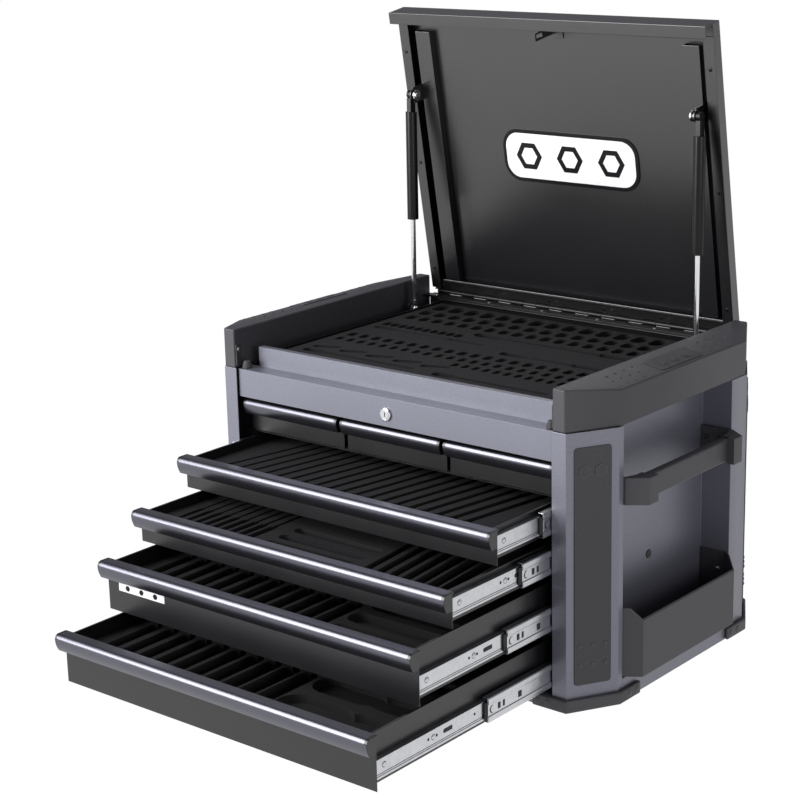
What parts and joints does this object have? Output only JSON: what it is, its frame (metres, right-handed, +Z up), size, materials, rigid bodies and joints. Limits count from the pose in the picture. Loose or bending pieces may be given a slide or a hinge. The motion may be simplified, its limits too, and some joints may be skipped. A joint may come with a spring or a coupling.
{
  "type": "tool chest",
  "caption": "Top tool chest with a lift-up lid on two gas struts, sliding drawers on telescopic runners, side carry handles and a side storage bin.",
  "frame": {"origin": "centre of the underside of the base pan", "axes": "+Z up, +X towards the storage bin side, -Y towards the drawer fronts"},
  "size_m": [0.758, 0.8713, 0.8953],
  "materials": {
    "body_paint": "semi-gloss metallic grey powder coat",
    "drawer_paint": "satin black powder coat",
    "lid_paint": "satin black powder coat",
    "textured_plastic": "textured charcoal moulding",
    "insert_plastic": "matt black moulding",
    "pull_metal": "dark anodised, satin",
    "zinc": "bright zinc plate",
    "chrome": "polished",
    "tube_paint": "gloss black",
    "buffer_rubber": "matt",
    "foam": "closed-cell foam, matt charcoal",
    "emblem": "satin plate with a dark edge"
  },
  "bodies": {
    "chest": {"side_panel_left": "body_paint", "side_panel_right": "body_paint", "back_panel": "body_paint", "base_pan": "body_paint", "header_fascia": "body_paint", "top_tray": "drawer_paint", "small_drawer_bay": "drawer_paint", "side_rail_left": "textured_plastic", "side_rail_right": "textured_plastic", "rail_inserts": "insert_plastic", "corner_panels": "textured_plastic", "corner_bumpers": "textured_plastic", "handle_bars": "textured_plastic", "handle_brackets": "textured_plastic", "storage_bin": "textured_plastic", "slide_outer_members": "zinc", "lock_housing": "chrome", "rubber_buffers": "buffer_rubber", "tray_foam": "foam", "hinge_body_leaf": "lid_paint", "body_fasteners": "zinc", "strut_feet": "lid_paint"},
    "lock": {"lock_cylinder": "chrome"},
    "lid": {"lid_skin": "lid_paint", "lid_channels": "lid_paint", "lid_striker": "lid_paint", "strut_lid_brackets": "lid_paint", "lid_emblem": "emblem", "hinge_lid_leaf": "lid_paint", "hinge_pin": "zinc"},
    "strut_rod_left": {"strut_rod_left": "chrome"},
    "strut_rod_right": {"strut_rod_right": "chrome"},
    "strut_tube_left": {"strut_tube_left": "tube_paint"},
    "strut_tube_right": {"strut_tube_right": "tube_paint"},
    "drawer_1": {"drawer_1_box": "drawer_paint", "drawer_1_pull": "pull_metal", "drawer_1_slide_inner": "zinc", "drawer_1_foam": "foam"},
    "slide_mid_1": {"drawer_1_slide_mid": "zinc"},
    "drawer_2": {"drawer_2_box": "drawer_paint", "drawer_2_pull": "pull_metal", "drawer_2_slide_inner": "zinc", "drawer_2_foam": "foam"},
    "slide_mid_2": {"drawer_2_slide_mid": "zinc"},
    "drawer_3": {"drawer_3_box": "drawer_paint", "drawer_3_pull": "pull_metal", "drawer_3_slide_inner": "zinc", "drawer_3_foam": "foam"},
    "slide_mid_3": {"drawer_3_slide_mid": "zinc"},
    "drawer_4": {"drawer_4_box": "drawer_paint", "drawer_4_pull": "pull_metal", "drawer_4_slide_inner": "zinc", "drawer_4_foam": "foam"},
    "slide_mid_4": {"drawer_4_slide_mid": "zinc"},
    "small_drawer_left": {"small_left_box": "drawer_paint", "small_left_pull": "pull_metal"},
    "small_drawer_middle": {"small_middle_box": "drawer_paint", "small_middle_pull": "pull_metal"},
    "small_drawer_right": {"small_right_box": "drawer_paint", "small_right_pull": "pull_metal"}
  },
  "joints": [
    {"name": "lid_hinge", "type": "hinge", "parent": "chest", "child": "lid", "pos_m": [0, 0.238, 0.428], "axis": [1, 0, 0], "range_deg": [0, 80.5]},
    {"name": "lock_turn", "type": "hinge", "parent": "chest", "child": "lock", "pos_m": [0, -0.23, 0.37], "axis": [0, -1, 0], "range_deg": [0, 90]},
    {"name": "strut_swing_left", "type": "hinge", "parent": "chest", "child": "strut_rod_left", "pos_m": [-0.265, 0.162, 0.414], "axis": [1, 0, 0], "range_deg": [0, 91.4]},
    {"name": "strut_slide_left", "type": "slide", "parent": "strut_rod_left", "child": "strut_tube_left", "axis": [0, 0.0062, 1], "range_m": [-0.0826, 0]},
    {"name": "strut_swing_right", "type": "hinge", "parent": "chest", "child": "strut_rod_right", "pos_m": [0.265, 0.162, 0.414], "axis": [1, 0, 0], "range_deg": [0, 91.4]},
    {"name": "strut_slide_right", "type": "slide", "parent": "strut_rod_right", "child": "strut_tube_right", "axis": [0, 0.0062, 1], "range_m": [-0.0826, 0]},
    {"name": "drawer_1_slide", "type": "slide", "parent": "chest", "child": "drawer_1", "axis": [0, -1, 0], "range_m": [-0.141, 0.259]},
    {"name": "slide_mid_1_slide", "type": "slide", "parent": "chest", "child": "slide_mid_1", "axis": [0, -1, 0], "range_m": [-0.0705, 0.1295]},
    {"name": "drawer_2_slide", "type": "slide", "parent": "chest", "child": "drawer_2", "axis": [0, -1, 0], "range_m": [-0.236, 0.164]},
    {"name": "slide_mid_2_slide", "type": "slide", "parent": "chest", "child": "slide_mid_2", "axis": [0, -1, 0], "range_m": [-0.118, 0.082]},
    {"name": "drawer_3_slide", "type": "slide", "parent": "chest", "child": "drawer_3", "axis": [0, -1, 0], "range_m": [-0.305, 0.095]},
    {"name": "slide_mid_3_slide", "type": "slide", "parent": "chest", "child": "slide_mid_3", "axis": [0, -1, 0], "range_m": [-0.1525, 0.0475]},
    {"name": "drawer_4_slide", "type": "slide", "parent": "chest", "child": "drawer_4", "axis": [0, -1, 0], "range_m": [-0.391, 0.009]},
    {"name": "slide_mid_4_slide", "type": "slide", "parent": "chest", "child": "slide_mid_4", "axis": [0, -1, 0], "range_m": [-0.1955, 0.0045]},
    {"name": "small_left_slide", "type": "slide", "parent": "chest", "child": "small_drawer_left", "axis": [0, -1, 0], "range_m": [0, 0.3]},
    {"name": "small_middle_slide", "type": "slide", "parent": "chest", "child": "small_drawer_middle", "axis": [0, -1, 0], "range_m": [0, 0.3]},
    {"name": "small_right_slide", "type": "slide", "parent": "chest", "child": "small_drawer_right", "axis": [0, -1, 0], "range_m": [0, 0.3]}
  ],
  "couplings": [
    {"joint": "strut_swing_left", "follows": "lid_hinge", "ratio": 1.1332},
    {"joint": "strut_slide_left", "follows": "lid_hinge", "m_per_rad": -0.058607},
    {"joint": "strut_swing_right", "follows": "lid_hinge", "ratio": 1.1332},
    {"joint": "strut_slide_right", "follows": "lid_hinge", "m_per_rad": -0.058607},
    {"joint": "slide_mid_1_slide", "follows": "drawer_1_slide", "ratio": 0.5},
    {"joint": "slide_mid_2_slide", "follows": "drawer_2_slide", "ratio": 0.5},
    {"joint": "slide_mid_3_slide", "follows": "drawer_3_slide", "ratio": 0.5},
    {"joint": "slide_mid_4_slide", "follows": "drawer_4_slide", "ratio": 0.5}
  ]
}
